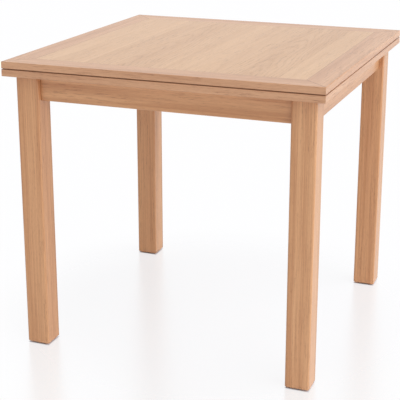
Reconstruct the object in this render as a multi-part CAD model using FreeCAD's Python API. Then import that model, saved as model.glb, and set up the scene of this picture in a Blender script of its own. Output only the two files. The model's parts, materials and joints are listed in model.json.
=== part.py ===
import FreeCAD, Part
import math
import os

V = FreeCAD.Vector

# Swivel extending table with its two leaves stacked.
# X runs along the front edge, Y towards the back and Z up from the floor under the middle of the top.

# Table top
TOP_SIDE = 800.0
TABLE_HEIGHT = 740.0
LEAF_THICKNESS = 17.5
LEAF_GAP = 1.2
BORDER_WIDTH = 60.0
EDGE_ROUND = 1.5
VENEER_THICKNESS = 0.6
TONGUE_THICKNESS = 4.0
TONGUE_REACH = 9.0
TONGUE_END_GAP = 14.0
BISCUIT_LENGTH = 46.0
BISCUIT_WIDTH = 20.0
BISCUIT_THICKNESS = 5.0
BUMPER_RADIUS = 4.0
BUMPER_INSET = 30.0

# Legs and aprons
LEG_SIDE = 60.0
LEG_INSET = 24.0
LEG_EDGE_ROUND = 5.0
FOOT_CHAMFER = 2.0
APRON_SETBACK = 13.5
APRON_THICKNESS = 20.0
APRON_HEIGHT = 59.0
APRON_ARRIS = 1.5
TENON_LENGTH = 15.0
TENON_THICKNESS = 10.0
TENON_SHOULDER = 8.0

# Felt and foot glides
FELT_THICKNESS = 1.5
FELT_WIDTH = 14.0
FELT_END_GAP = 10.0
GLIDE_HEIGHT = 3.0
GLIDE_RADIUS = 18.0
GLIDE_CHAMFER = 0.8
GLIDE_STEM_RADIUS = 4.0
GLIDE_STEM_LENGTH = 14.0

# Corner blocks and hanger bolts
BLOCK_THICKNESS = 22.0
BLOCK_HEIGHT = 45.0
BLOCK_SCREW_GRIP = 9.0
LEG_FLAT = 10.0
BOLT_RADIUS = 4.0
BOLT_LEG_DEPTH = 38.0
BOLT_PROUD = 3.0
WASHER_RADIUS = 8.5
WASHER_THICKNESS = 1.6
NUT_FLATS = 13.0
NUT_HEIGHT = 6.5

# Pivot rail and cleats
RAIL_WIDTH = 62.0
RAIL_THICKNESS = 22.0
CLEAT_THICKNESS = 20.0
CLEAT_HEIGHT = 25.0
CLEAT_CHAMFER = 6.0

# Pivot
PIVOT_PLATE_RADIUS = 40.0
PIVOT_PLATE_THICKNESS = 3.0
STUD_RADIUS = 6.0
STUD_PROUD = 3.0
BUSH_WALL = 2.0
BUSH_FLANGE_RADIUS = 22.0
SLIP_WASHER_THICKNESS = 1.5
PIVOT_WASHER_RADIUS = 15.0
PIVOT_WASHER_THICKNESS = 2.5
SPRING_WASHER_RADIUS = 10.5
SPRING_WASHER_THICKNESS = 3.0
SPRING_WASHER_SLIT = 1.5
LOCK_NUT_FLATS = 19.0
LOCK_NUT_HEIGHT = 9.0
LOCK_NUT_COLLAR_RADIUS = 8.2
LOCK_NUT_COLLAR_HEIGHT = 3.0
STOP_PEG_RADIUS = 10.0
STOP_PEG_DROP = 20.0
STOP_PEG_CHAMFER = 2.0

# Fold hinges
HINGE_WIDTH = 36.0
HINGE_LENGTH = 45.0
HINGE_PLATE_THICKNESS = 3.0
HINGE_CORNER_ROUND = 10.0
KNUCKLE_WIDTH = 24.0
KNUCKLE_DEPTH = 9.0
PIN_RADIUS = 1.5
PIN_DEPTH = 3.2
PIN_END_GAP = 0.5
EYE_COVER = 0.4
LINK_WIDTH = 10.0

# Wood screws, all of one gauge
SCREW_HEAD_RADIUS = 4.0
SCREW_SHANK_RADIUS = 2.0
SCREW_POINT = 4.0

# Fits
SLIDE_CLEARANCE = 0.2
RUNNING_CLEARANCE = 0.05
GLUE_CLEARANCE = 0.1
BOLT_CLEARANCE = 0.5
STOP_CLEARANCE = 0.3
SLOT_CLEARANCE = 0.4
OVERRUN = 5.0

# Proportions
FOLD_ROUND_SHARE = 0.8
HINGE_PLACE_SHARE = 0.34
HINGE_SCREW_SHARES = ((0.0, 0.42), (0.0, 0.78))
BLOCK_SCREW_SHARE = 0.55
SCREW_BITE_SHARE = 0.65
LEAF_SCREW_SHARE = 0.75
PIVOT_SCREW_CIRCLE_SHARE = 0.76
PIVOT_SCREW_COUNT = 4
CLEAT_SCREW_SHARE = 0.36
RAIL_SCREW_SHARE = 0.18
PEG_SOCKET_SHARE = 0.55
FULL_TURN = 360.0

# Small hidden pieces have flat sides instead of round ones.
HEX_SIDES = 6
FASTENER_SIDES = 8
SMALL_ROUND_SIDES = 12
PLATE_SIDES = 32
BISCUIT_POINTS = 7
SAME_POINT = 1e-6

# Levels
upper_leaf_base = TABLE_HEIGHT - LEAF_THICKNESS
lower_leaf_top = upper_leaf_base - LEAF_GAP
lower_leaf_base = lower_leaf_top - LEAF_THICKNESS
felt_top = lower_leaf_base - SLIDE_CLEARANCE
frame_top = felt_top - FELT_THICKNESS
apron_base = frame_top - APRON_HEIGHT
apron_middle = frame_top - APRON_HEIGHT / 2
rail_base = frame_top - RAIL_THICKNESS

# Distances from the middle of the table
half_top = TOP_SIDE / 2
field_edge = half_top - BORDER_WIDTH
leg_outer = half_top - LEG_INSET
leg_inner = leg_outer - LEG_SIDE
leg_centre = leg_outer - LEG_SIDE / 2
apron_outer = leg_outer - APRON_SETBACK
apron_inner = apron_outer - APRON_THICKNESS

# A quarter turn about this point brings the fold line over the middle of the frame.
pivot_place = TOP_SIDE / 4
pivot = V(pivot_place, pivot_place, 0)

UP = V(0, 0, 1)
DOWN = V(0, 0, -1)
ALONG_X = V(1, 0, 0)
ALONG_Y = V(0, 1, 0)
ORIGIN = V(0, 0, 0)
QUADRANTS = {"front_left": (-1, -1), "front_right": (1, -1), "back_left": (-1, 1), "back_right": (1, 1)}


def block(low, high):
    """A block between two opposite corners."""
    size = high - low
    return Part.makeBox(size.x, size.y, size.z, low)


def rod(radius, start, end):
    """A round bar between two points."""
    return Part.makeCylinder(radius, (end - start).Length, start, end - start)


def face(corners):
    """A flat face through (point, radius) corners, each rounded by its radius."""
    edges = []
    arcs = []
    for index, (point, radius) in enumerate(corners):
        before = (corners[index - 1][0] - point).normalize()
        after = (corners[(index + 1) % len(corners)][0] - point).normalize()
        half_angle = before.getAngle(after) / 2
        inward = (before + after).normalize()
        reach = radius / math.tan(half_angle)
        nearest = point + inward * (radius / math.sin(half_angle) - radius)
        arcs.append((point + before * reach, nearest, point + after * reach, radius))
    for index, (first, nearest, last, radius) in enumerate(arcs):
        if radius > 0:
            edges.append(Part.Arc(first, nearest, last).toShape())
        following = arcs[(index + 1) % len(arcs)][0]
        if (following - last).Length > SAME_POINT:
            edges.append(Part.makeLine(last, following))
    return Part.Face(Part.Wire(edges))


def prism(corners, sweep):
    """A straight solid swept from a face with rounded corners."""
    return face(corners).extrude(sweep)


def polygon(radius, sides, height):
    """Corners of a level regular polygon."""
    points = []
    for index in range(sides):
        angle = 2 * math.pi * index / sides
        points.append(V(radius * math.cos(angle), radius * math.sin(angle), height))
    return points


def flat(corners):
    """A flat face through corners, where neighbours may be one point."""
    distinct = []
    for index, corner in enumerate(corners):
        if (corner - corners[index - 1]).Length > SAME_POINT:
            distinct.append(corner)
    return Part.Face(Part.makePolygon(distinct + distinct[:1]))


def faceted(profile, sides, start, direction):
    """A flat-sided solid from (radius, distance along the axis) rings."""
    rings = [polygon(radius, sides, distance) for radius, distance in profile]
    faces = []
    for lower, upper in zip(rings, rings[1:]):
        for index in range(sides):
            after = (index + 1) % sides
            faces.append(flat([lower[index], lower[after], upper[after], upper[index]]))
    for end_ring, (radius, distance) in zip((rings[0], rings[-1]), (profile[0], profile[-1])):
        if radius > 0:
            faces.append(flat(end_ring))
    solid = Part.makeSolid(Part.makeShell(faces))
    solid.Placement = FreeCAD.Placement(start, FreeCAD.Rotation(UP, direction))
    return solid


def bar(radius, sides, start, end):
    """A flat-sided bar between two points."""
    length = (end - start).Length
    return faceted([(radius, 0), (radius, length)], sides, start, end - start)


def washer(bolt_radius, outer_radius, start, end):
    """A washer between two points, with clearance for its bolt."""
    hole = bar(bolt_radius + BOLT_CLEARANCE, SMALL_ROUND_SIDES, start, end)
    return bar(outer_radius, SMALL_ROUND_SIDES, start, end).cut(hole).Solids[0]


def hexagon(flats, start, end):
    """A hexagonal bar of a size across its flats."""
    return bar(flats / 2 / math.cos(math.pi / HEX_SIDES), HEX_SIDES, start, end)


def screw(start, direction, length, grow=0):
    """A countersunk wood screw with its head face at the start point; a grown one is its hole."""
    head = SCREW_HEAD_RADIUS + grow
    shank = SCREW_SHANK_RADIUS + grow
    profile = [(head, 0), (shank, head - shank), (shank, length - SCREW_POINT), (0, length + grow)]
    return faceted(profile, FASTENER_SIDES, start, direction)


def screw_hole(start, direction, length):
    """The hole of one screw."""
    return screw(start, direction, length, RUNNING_CLEARANCE)


def in_quadrant(shape, signs):
    """A back right piece mirrored to one of the four corners."""
    if signs[0] < 0:
        shape = shape.mirror(ORIGIN, ALONG_X)
    if signs[1] < 0:
        shape = shape.mirror(ORIGIN, ALONG_Y)
    return shape


def in_all_quadrants(shape):
    """The same piece at all four corners."""
    return [in_quadrant(shape, signs) for signs in QUADRANTS.values()]


def moved(shape, offset):
    """A copy of a shape at another place."""
    copy = shape.copy()
    copy.translate(offset)
    return copy


def quarter_turned(shape, turns):
    """A copy turned about the upright middle axis by a number of quarter turns."""
    copy = shape.copy()
    copy.rotate(ORIGIN, UP, turns * FULL_TURN / 4)
    return copy


def save(name, solids):
    """Write one piece, or one group of like pieces, under its name."""
    shape = solids
    if isinstance(solids, list):
        shape = Part.makeCompound(solids)
    shape.exportStep("parts/" + name + ".step")


# Corner joints of the frame, worked out at the back right corner

outward = V(1, 1, 0).normalize()
flat_distance = (2 * leg_inner + LEG_FLAT) / math.sqrt(2)
block_inner_distance = flat_distance - BLOCK_THICKNESS
block_base = apron_middle - BLOCK_HEIGHT / 2
block_top = apron_middle + BLOCK_HEIGHT / 2


def on_diagonal(distance):
    """A point on the corner's diagonal at the height of the hanger bolt."""
    return outward * distance + UP * apron_middle


def across_from_apron(distance):
    """Where a line square to the diagonal meets the apron's inner face."""
    return distance * math.sqrt(2) - apron_inner


def block_screw_line():
    """Start point of the screw from a corner block into the back apron."""
    near = across_from_apron(block_inner_distance)
    far = across_from_apron(flat_distance)
    return V(near + (far - near) * BLOCK_SCREW_SHARE, apron_inner - BLOCK_SCREW_GRIP, apron_middle)


block_screw_length = BLOCK_SCREW_GRIP + APRON_THICKNESS * SCREW_BITE_SHARE


def swapped(shape):
    """A back right piece mirrored across the corner's diagonal."""
    return shape.mirror(ORIGIN, V(1, -1, 0))


def corner_block():
    """Block across a corner of the frame, bored for the hanger bolt and two screws."""
    near = across_from_apron(block_inner_distance)
    far = across_from_apron(flat_distance)
    corners = [V(apron_inner, far, block_base), V(far, apron_inner, block_base)]
    corners += [V(near, apron_inner, block_base), V(apron_inner, near, block_base)]
    body = prism([(corner, 0) for corner in corners], UP * BLOCK_HEIGHT)
    start = block_screw_line()
    head_radius = SCREW_HEAD_RADIUS + RUNNING_CLEARANCE
    head_hole = bar(head_radius, FASTENER_SIDES, start, start - ALONG_Y * BLOCK_THICKNESS)
    hole = screw_hole(start, ALONG_Y, block_screw_length)
    bolt_hole = bar(BOLT_RADIUS + BOLT_CLEARANCE, FASTENER_SIDES,
                    on_diagonal(block_inner_distance - OVERRUN), on_diagonal(flat_distance + OVERRUN))
    tools = [head_hole, hole, swapped(head_hole), swapped(hole), bolt_hole]
    return body.cut(tools).Solids[0]


washer_start = block_inner_distance - WASHER_THICKNESS
nut_start = washer_start - NUT_HEIGHT
bolt_start = nut_start - BOLT_PROUD
bolt_end = flat_distance + BOLT_LEG_DEPTH


def hanger_bolt():
    """Bolt with a pointed wood end in the leg and a machine end in the nut."""
    length = bolt_end - bolt_start
    profile = [(BOLT_RADIUS, 0), (BOLT_RADIUS, length - BOLT_RADIUS), (0, length)]
    return faceted(profile, FASTENER_SIDES, on_diagonal(bolt_start), outward)


def hanger_washer():
    """Washer under the hanger nut."""
    return washer(BOLT_RADIUS, WASHER_RADIUS, on_diagonal(washer_start), on_diagonal(block_inner_distance))


def hanger_nut():
    """Hexagonal nut of the hanger bolt."""
    body = hexagon(NUT_FLATS, on_diagonal(nut_start), on_diagonal(washer_start))
    return body.cut(bolt_bore(bolt_start, block_inner_distance)).Solids[0]


def bolt_bore(start_distance, end_distance):
    """Close bore of the hanger bolt along the diagonal."""
    radius = BOLT_RADIUS + RUNNING_CLEARANCE
    return bar(radius, FASTENER_SIDES, on_diagonal(start_distance), on_diagonal(end_distance))


# Legs and aprons

tenon_inner = apron_outer - APRON_THICKNESS / 2 - TENON_THICKNESS / 2
tenon_outer = tenon_inner + TENON_THICKNESS
tenon_base = apron_base + TENON_SHOULDER
tenon_top = frame_top - TENON_SHOULDER
tenon_end = leg_inner + TENON_LENGTH


def leg():
    """Back right leg with two mortises, a flat for the corner block and bores for bolt and glide."""
    corners = [V(leg_inner, leg_inner, GLIDE_HEIGHT), V(leg_outer, leg_inner, GLIDE_HEIGHT)]
    corners += [V(leg_outer, leg_outer, GLIDE_HEIGHT), V(leg_inner, leg_outer, GLIDE_HEIGHT)]
    body = prism([(corner, LEG_EDGE_ROUND) for corner in corners], UP * (frame_top - GLIDE_HEIGHT))
    foot_edges = [edge for edge in body.Edges if edge.BoundBox.ZMax < GLIDE_HEIGHT + FOOT_CHAMFER]
    body = body.makeChamfer(FOOT_CHAMFER, foot_edges)
    mortise = block(V(leg_inner - OVERRUN, tenon_inner, tenon_base),
                    V(tenon_end + GLUE_CLEARANCE, tenon_outer, tenon_top))
    flat_corners = [V(leg_inner - OVERRUN, leg_inner - OVERRUN, block_base)]
    flat_corners += [V(leg_inner + LEG_FLAT + OVERRUN, leg_inner - OVERRUN, block_base)]
    flat_corners += [V(leg_inner - OVERRUN, leg_inner + LEG_FLAT + OVERRUN, block_base)]
    flat_cut = prism([(corner, 0) for corner in flat_corners], UP * (frame_top - block_base + OVERRUN))
    pilot = bolt_bore(flat_distance - OVERRUN, bolt_end)
    stem_end = V(leg_centre, leg_centre, GLIDE_HEIGHT + GLIDE_STEM_LENGTH + GLUE_CLEARANCE)
    stem_radius = GLIDE_STEM_RADIUS + RUNNING_CLEARANCE
    stem_bore = bar(stem_radius, SMALL_ROUND_SIDES, V(leg_centre, leg_centre, 0), stem_end)
    return body.cut([mortise, swapped(mortise), flat_cut, pilot, stem_bore]).Solids[0]


def apron():
    """Back apron with rounded lower edges, stub tenons and pilots for the corner block screws."""
    section = [(V(-leg_inner, apron_inner, apron_base), APRON_ARRIS)]
    section += [(V(-leg_inner, apron_outer, apron_base), APRON_ARRIS)]
    section += [(V(-leg_inner, apron_outer, frame_top), 0), (V(-leg_inner, apron_inner, frame_top), 0)]
    board = prism(section, ALONG_X * (2 * leg_inner))
    tenons = block(V(-tenon_end, tenon_inner, tenon_base), V(tenon_end, tenon_outer, tenon_top))
    pilot = screw_hole(block_screw_line(), ALONG_Y, block_screw_length)
    body = board.fuse(tenons).cut([pilot, pilot.mirror(ORIGIN, ALONG_X)])
    return body.removeSplitter().Solids[0]


def felt_strip():
    """Felt strip on the back apron."""
    middle = (apron_inner + apron_outer) / 2
    reach = leg_inner - FELT_END_GAP
    return block(V(-reach, middle - FELT_WIDTH / 2, frame_top), V(reach, middle + FELT_WIDTH / 2, felt_top))


def foot_glide():
    """Foot glide with a chamfered rim and a push-in stem."""
    stem_end = GLIDE_HEIGHT + GLIDE_STEM_LENGTH
    profile = [(GLIDE_RADIUS - GLIDE_CHAMFER, 0), (GLIDE_RADIUS, GLIDE_CHAMFER)]
    profile += [(GLIDE_RADIUS, GLIDE_HEIGHT), (GLIDE_STEM_RADIUS, GLIDE_HEIGHT)]
    profile += [(GLIDE_STEM_RADIUS, stem_end)]
    return faceted(profile, SMALL_ROUND_SIDES, V(leg_centre, leg_centre, 0), UP)


# Pivot rail, cleats and the screws that hold them

cleat_inner = apron_inner - CLEAT_THICKNESS
cleat_base = rail_base - CLEAT_HEIGHT
cleat_screw_length = CLEAT_THICKNESS + APRON_THICKNESS * SCREW_BITE_SHARE
rail_screw_length = RAIL_THICKNESS + CLEAT_HEIGHT * SCREW_BITE_SHARE


def cleat_screw_starts():
    """Head points of the screws from the right cleat into the apron."""
    reach = RAIL_WIDTH * CLEAT_SCREW_SHARE
    height = rail_base - CLEAT_HEIGHT / 2
    return [V(cleat_inner, pivot_place + side * reach, height) for side in (-1, 1)]


def rail_screw_starts():
    """Head points of the screws from the rail into the right cleat."""
    reach = RAIL_WIDTH * RAIL_SCREW_SHARE
    place = apron_inner - CLEAT_THICKNESS / 2
    return [V(place, pivot_place + side * reach, frame_top) for side in (-1, 1)]


def on_both_ends(shapes):
    """Right end pieces together with their mirror images at the left end."""
    return shapes + [shape.mirror(ORIGIN, ALONG_X) for shape in shapes]


def rail_cleat():
    """Right cleat with a chamfered lower edge."""
    front = pivot_place - RAIL_WIDTH / 2
    section = [V(apron_inner, front, rail_base), V(cleat_inner, front, rail_base)]
    section += [V(cleat_inner, front, cleat_base + CLEAT_CHAMFER)]
    section += [V(cleat_inner + CLEAT_CHAMFER, front, cleat_base), V(apron_inner, front, cleat_base)]
    body = prism([(corner, 0) for corner in section], ALONG_Y * RAIL_WIDTH)
    holes = [screw_hole(start, ALONG_X, cleat_screw_length) for start in cleat_screw_starts()]
    holes += [screw_hole(start, DOWN, rail_screw_length) for start in rail_screw_starts()]
    return body.cut(holes).Solids[0]


def side_apron():
    """Right apron: the back apron turned, with pilots for the cleat screws."""
    holes = [screw_hole(start, ALONG_X, cleat_screw_length) for start in cleat_screw_starts()]
    return swapped(apron()).cut(holes).Solids[0]


def pivot_rail():
    """Rail across the frame, bored for the bush and the screws into the cleats."""
    front = pivot_place - RAIL_WIDTH / 2
    body = block(V(-apron_inner, front, rail_base), V(apron_inner, front + RAIL_WIDTH, frame_top))
    bore_radius = bush_radius + RUNNING_CLEARANCE
    bore = bar(bore_radius, SMALL_ROUND_SIDES, at_pivot(rail_base - OVERRUN), at_pivot(felt_top))
    holes = [screw_hole(start, DOWN, rail_screw_length) for start in rail_screw_starts()]
    return body.cut([bore] + on_both_ends(holes)).Solids[0]


# Pivot

bush_bore = STUD_RADIUS + RUNNING_CLEARANCE
bush_radius = bush_bore + BUSH_WALL
slip_washer_base = rail_base - SLIP_WASHER_THICKNESS
pivot_washer_top = slip_washer_base - SLIDE_CLEARANCE
spring_washer_top = pivot_washer_top - PIVOT_WASHER_THICKNESS
lock_nut_top = spring_washer_top - SPRING_WASHER_THICKNESS
lock_nut_base = lock_nut_top - LOCK_NUT_HEIGHT
collar_base = lock_nut_base - LOCK_NUT_COLLAR_HEIGHT
stud_base = collar_base - STUD_PROUD
pivot_plate_top = lower_leaf_base + PIVOT_PLATE_THICKNESS
pivot_screw_length = LEAF_THICKNESS * LEAF_SCREW_SHARE


def at_pivot(height):
    """A point on the pivot axis."""
    return pivot + UP * height


def pivot_bush():
    """Nylon bush in the rail with a broad flange on top."""
    profile = [(bush_radius, rail_base), (bush_radius, frame_top)]
    profile += [(BUSH_FLANGE_RADIUS, frame_top), (BUSH_FLANGE_RADIUS, felt_top)]
    body = faceted(profile, SMALL_ROUND_SIDES, pivot, UP)
    return body.cut(rod(bush_bore, pivot, at_pivot(TABLE_HEIGHT))).Solids[0]


def pivot_screw_starts():
    """Head points of the pivot plate's screws on their circle."""
    radius = PIVOT_PLATE_RADIUS * PIVOT_SCREW_CIRCLE_SHARE
    starts = []
    for index in range(PIVOT_SCREW_COUNT):
        angle = 2 * math.pi * index / PIVOT_SCREW_COUNT
        starts.append(at_pivot(lower_leaf_base) + V(radius * math.cos(angle), radius * math.sin(angle), 0))
    return starts


def pivot_plate():
    """Round steel plate let into the lower leaf, with countersunk holes and a hole for the stud."""
    body = bar(PIVOT_PLATE_RADIUS, PLATE_SIDES, at_pivot(lower_leaf_base), at_pivot(pivot_plate_top))
    holes = [screw_hole(start, UP, pivot_screw_length) for start in pivot_screw_starts()]
    holes.append(rod(bush_bore, at_pivot(frame_top), at_pivot(lower_leaf_top)))
    return body.cut(holes).Solids[0]


def pivot_spring_washer():
    """Spring washer with its slit."""
    body = washer(STUD_RADIUS, SPRING_WASHER_RADIUS, at_pivot(lock_nut_top), at_pivot(spring_washer_top))
    half_slit = SPRING_WASHER_SLIT / 2
    slit = block(at_pivot(lock_nut_top - OVERRUN) + V(0, -half_slit, 0),
                 at_pivot(spring_washer_top + OVERRUN) + V(SPRING_WASHER_RADIUS + OVERRUN, half_slit, 0))
    return body.cut(slit).Solids[0]


def pivot_lock_nut():
    """Hexagonal lock nut with a round collar below."""
    body = hexagon(LOCK_NUT_FLATS, at_pivot(lock_nut_base), at_pivot(lock_nut_top))
    collar = bar(LOCK_NUT_COLLAR_RADIUS, SMALL_ROUND_SIDES, at_pivot(collar_base), at_pivot(lock_nut_top))
    bore_radius = bush_bore / math.cos(math.pi / SMALL_ROUND_SIDES)
    bore = bar(bore_radius, SMALL_ROUND_SIDES, at_pivot(stud_base), at_pivot(rail_base))
    return body.fuse(collar).cut(bore).removeSplitter().Solids[0]


# The peg stands in front of the rail, and a quarter turn carries it to the rail's front again.
peg_reach = RAIL_WIDTH / 2 + STOP_PEG_RADIUS + STOP_CLEARANCE
peg_place = pivot - V(peg_reach, peg_reach, 0)
peg_socket = LEAF_THICKNESS * PEG_SOCKET_SHARE


def stop_peg():
    """Round wooden peg with a chamfered end, glued into the lower leaf."""
    length = peg_socket + STOP_PEG_DROP
    profile = [(STOP_PEG_RADIUS, 0), (STOP_PEG_RADIUS, length - STOP_PEG_CHAMFER)]
    profile += [(STOP_PEG_RADIUS - STOP_PEG_CHAMFER, length)]
    return faceted(profile, SMALL_ROUND_SIDES, peg_place + UP * (lower_leaf_base + peg_socket), DOWN)


# Leaves, drawn with the inner face at zero height and the leaf above it

fold_round = PIN_DEPTH * FOLD_ROUND_SHARE
leaf_middle = LEAF_THICKNESS / 2
tongue_base = leaf_middle - TONGUE_THICKNESS / 2
tongue_top = leaf_middle + TONGUE_THICKNESS / 2
groove_reach = TONGUE_REACH + GLUE_CLEARANCE


def biscuit(grow):
    """Lens-shaped biscuit across the back right mitre; a grown one is its slot."""
    middle = V(1, 1, 0) * (half_top - BORDER_WIDTH / 2) + UP * (leaf_middle - BISCUIT_THICKNESS / 2)
    along = outward * (BISCUIT_LENGTH / 2 + grow)
    across = V(1, -1, 0).normalize() * (BISCUIT_WIDTH / 2 + grow)
    one_side = Part.Arc(middle - along, middle + across, middle + along).toShape()
    other_side = Part.Arc(middle + along, middle - across, middle - along).toShape()
    outline = one_side.discretize(BISCUIT_POINTS) + other_side.discretize(BISCUIT_POINTS)
    return flat(outline).extrude(UP * BISCUIT_THICKNESS)


def border(inner_round):
    """Back border: a grooved and rounded section, mitred at both ends and slotted for the biscuits."""
    section = [(V(-half_top, field_edge, 0), 0), (V(-half_top, half_top, 0), inner_round)]
    section += [(V(-half_top, half_top, LEAF_THICKNESS), EDGE_ROUND)]
    section += [(V(-half_top, field_edge, LEAF_THICKNESS), 0), (V(-half_top, field_edge, tongue_top), 0)]
    section += [(V(-half_top, field_edge + groove_reach, tongue_top), 0)]
    section += [(V(-half_top, field_edge + groove_reach, tongue_base), 0)]
    section += [(V(-half_top, field_edge, tongue_base), 0)]
    board = prism(section, ALONG_X * TOP_SIDE)
    wedge_corners = [V(0, 0, -OVERRUN), V(TOP_SIDE, TOP_SIDE, -OVERRUN), V(-TOP_SIDE, TOP_SIDE, -OVERRUN)]
    wedge = prism([(corner, 0) for corner in wedge_corners], UP * (LEAF_THICKNESS + 2 * OVERRUN))
    slot = biscuit(GLUE_CLEARANCE)
    return board.common(wedge).cut([slot, slot.mirror(ORIGIN, ALONG_X)]).Solids[0]


def core():
    """Core panel with a groove along each edge."""
    body = block(V(-field_edge, -field_edge, VENEER_THICKNESS),
                 V(field_edge, field_edge, LEAF_THICKNESS - VENEER_THICKNESS))
    groove = block(V(-field_edge - OVERRUN, field_edge - groove_reach, tongue_base),
                   V(field_edge + OVERRUN, field_edge + OVERRUN, tongue_top))
    return body.cut([quarter_turned(groove, turns) for turns in range(4)]).Solids[0]


def tongues():
    """Loose tongues between the core and its borders."""
    reach = field_edge - TONGUE_END_GAP
    tongue = block(V(-reach, field_edge - TONGUE_REACH, tongue_base),
                   V(reach, field_edge + TONGUE_REACH, tongue_top))
    return [quarter_turned(tongue, turns) for turns in range(4)]


def veneer(base):
    """One face veneer over the core."""
    return block(V(-field_edge, -field_edge, base), V(field_edge, field_edge, base + VENEER_THICKNESS))


def bumper():
    """Small round bumper on the inner face of the lower leaf."""
    place = V(field_edge - BUMPER_INSET, half_top - BUMPER_INSET, lower_leaf_top)
    return bar(BUMPER_RADIUS, SMALL_ROUND_SIDES, place, place + UP * (LEAF_GAP - SLIDE_CLEARANCE))


# Fold hinges, drawn like the leaves and centred on the fold edge

hinge_places = [ALONG_X * (TOP_SIDE * HINGE_PLACE_SHARE * side) for side in (-1, 1)]
hinge_screw_length = LEAF_THICKNESS * LEAF_SCREW_SHARE
pin_line = half_top - PIN_DEPTH
eye_radius = PIN_DEPTH - EYE_COVER
slot_reach = PIN_DEPTH + eye_radius + SLOT_CLEARANCE


def hinge_flange(grow, base):
    """Flat part of a hinge plate, rounded at its inner corners; a grown one is its recess."""
    half_width = HINGE_WIDTH / 2 + grow
    inner = half_top - HINGE_LENGTH - grow
    outer = half_top + OVERRUN
    round_corners = [(V(-half_width, inner, base), HINGE_CORNER_ROUND)]
    round_corners += [(V(half_width, inner, base), HINGE_CORNER_ROUND)]
    corners = round_corners + [(V(half_width, outer, base), 0), (V(-half_width, outer, base), 0)]
    return prism(corners, UP * (HINGE_PLATE_THICKNESS - base))


def hinge_knuckle(grow):
    """Thick part of a hinge plate that carries the pin; a grown one is its pocket."""
    half_width = KNUCKLE_WIDTH / 2 + grow
    return block(V(-half_width, half_top - KNUCKLE_DEPTH - grow, -grow),
                 V(half_width, half_top + OVERRUN, KNUCKLE_DEPTH + grow))


def hinge_screw_starts():
    """Head points of the screws of one hinge plate."""
    starts = []
    for width_share, length_share in HINGE_SCREW_SHARES:
        starts.append(V(HINGE_WIDTH * width_share, half_top - HINGE_LENGTH * length_share, 0))
    return starts


def hinge_plate():
    """Hinge plate with its knuckle, rounded fold edge, link slot, pin bore and countersunk holes."""
    half_width = HINGE_WIDTH / 2
    inner = half_top - HINGE_LENGTH
    section = [(V(-half_width, inner, 0), 0), (V(-half_width, half_top, 0), fold_round)]
    section += [(V(-half_width, half_top, LEAF_THICKNESS), 0), (V(-half_width, inner, LEAF_THICKNESS), 0)]
    envelope = prism(section, ALONG_X * HINGE_WIDTH)
    body = hinge_flange(0, 0).fuse(hinge_knuckle(0)).common(envelope)
    half_slot = LINK_WIDTH / 2 + SLOT_CLEARANCE
    slot = block(V(-half_slot, half_top - slot_reach, -OVERRUN), V(half_slot, half_top + OVERRUN, slot_reach))
    tools = [screw_hole(start, UP, hinge_screw_length) for start in hinge_screw_starts()]
    bore_radius = (PIN_RADIUS + RUNNING_CLEARANCE) / math.cos(math.pi / FASTENER_SIDES)
    reach = V(KNUCKLE_WIDTH / 2 + OVERRUN, 0, 0)
    middle = V(0, pin_line, PIN_DEPTH)
    bore = bar(bore_radius, FASTENER_SIDES, middle - reach, middle + reach)
    return body.cut(tools + [slot, bore]).removeSplitter().Solids[0]


def hinge_pin():
    """Pin through a knuckle."""
    reach = V(KNUCKLE_WIDTH / 2 - PIN_END_GAP, 0, 0)
    middle = V(0, pin_line, PIN_DEPTH)
    return rod(PIN_RADIUS, middle - reach, middle + reach)


def fold_border():
    """Back border with recesses for the hinges."""
    screws = [screw_hole(start, UP, hinge_screw_length) for start in hinge_screw_starts()]
    tools = [hinge_flange(GLUE_CLEARANCE, -OVERRUN), hinge_knuckle(GLUE_CLEARANCE)] + screws
    placed = [moved(tool, offset) for tool in tools for offset in hinge_places]
    return border(fold_round).cut(placed).Solids[0]


def hinge_link():
    """Link with two eyes, standing upright between the pins of a closed hinge."""
    side = -LINK_WIDTH / 2
    base = lower_leaf_top - PIN_DEPTH - eye_radius
    top = upper_leaf_base + PIN_DEPTH + eye_radius
    corners = [V(side, pin_line - eye_radius, base), V(side, pin_line + eye_radius, base)]
    corners += [V(side, pin_line + eye_radius, top), V(side, pin_line - eye_radius, top)]
    body = prism([(corner, eye_radius) for corner in corners], ALONG_X * LINK_WIDTH)
    bores = []
    for height in (base + eye_radius, top - eye_radius):
        start = V(side - OVERRUN, pin_line, height)
        bores.append(rod(PIN_RADIUS + RUNNING_CLEARANCE, start, start + ALONG_X * (LINK_WIDTH + 2 * OVERRUN)))
    return body.cut(bores).Solids[0]


def on_upper(shape):
    """A leaf piece at its place in the upper leaf."""
    return moved(shape, UP * upper_leaf_base)


def on_lower(shape):
    """A leaf piece turned over into its place in the lower leaf."""
    return moved(shape.mirror(ORIGIN, UP), UP * lower_leaf_top)


def save_leaf(name, place):
    """The pieces that both leaves share."""
    plain_border = border(EDGE_ROUND)
    save(name + "_leaf_border_back", place(fold_border()))
    save(name + "_leaf_border_left", place(quarter_turned(plain_border, 1)))
    save(name + "_leaf_border_front", place(quarter_turned(plain_border, 2)))
    save(name + "_leaf_border_right", place(quarter_turned(plain_border, 3)))
    save(name + "_leaf_tongues", [place(tongue) for tongue in tongues()])
    save(name + "_leaf_mitre_biscuits", [place(piece) for piece in in_all_quadrants(biscuit(0))])
    plate = hinge_plate()
    pin = hinge_pin()
    screws = [screw(start, UP, hinge_screw_length) for start in hinge_screw_starts()]
    for side, offset in zip(("left", "right"), hinge_places):
        save("hinge_" + name + "_plate_" + side, place(moved(plate, offset)))
    save("hinge_" + name + "_pins", [place(moved(pin, offset)) for offset in hinge_places])
    all_screws = [moved(piece, offset) for piece in screws for offset in hinge_places]
    save("hinge_" + name + "_screws", [place(piece) for piece in all_screws])


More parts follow.
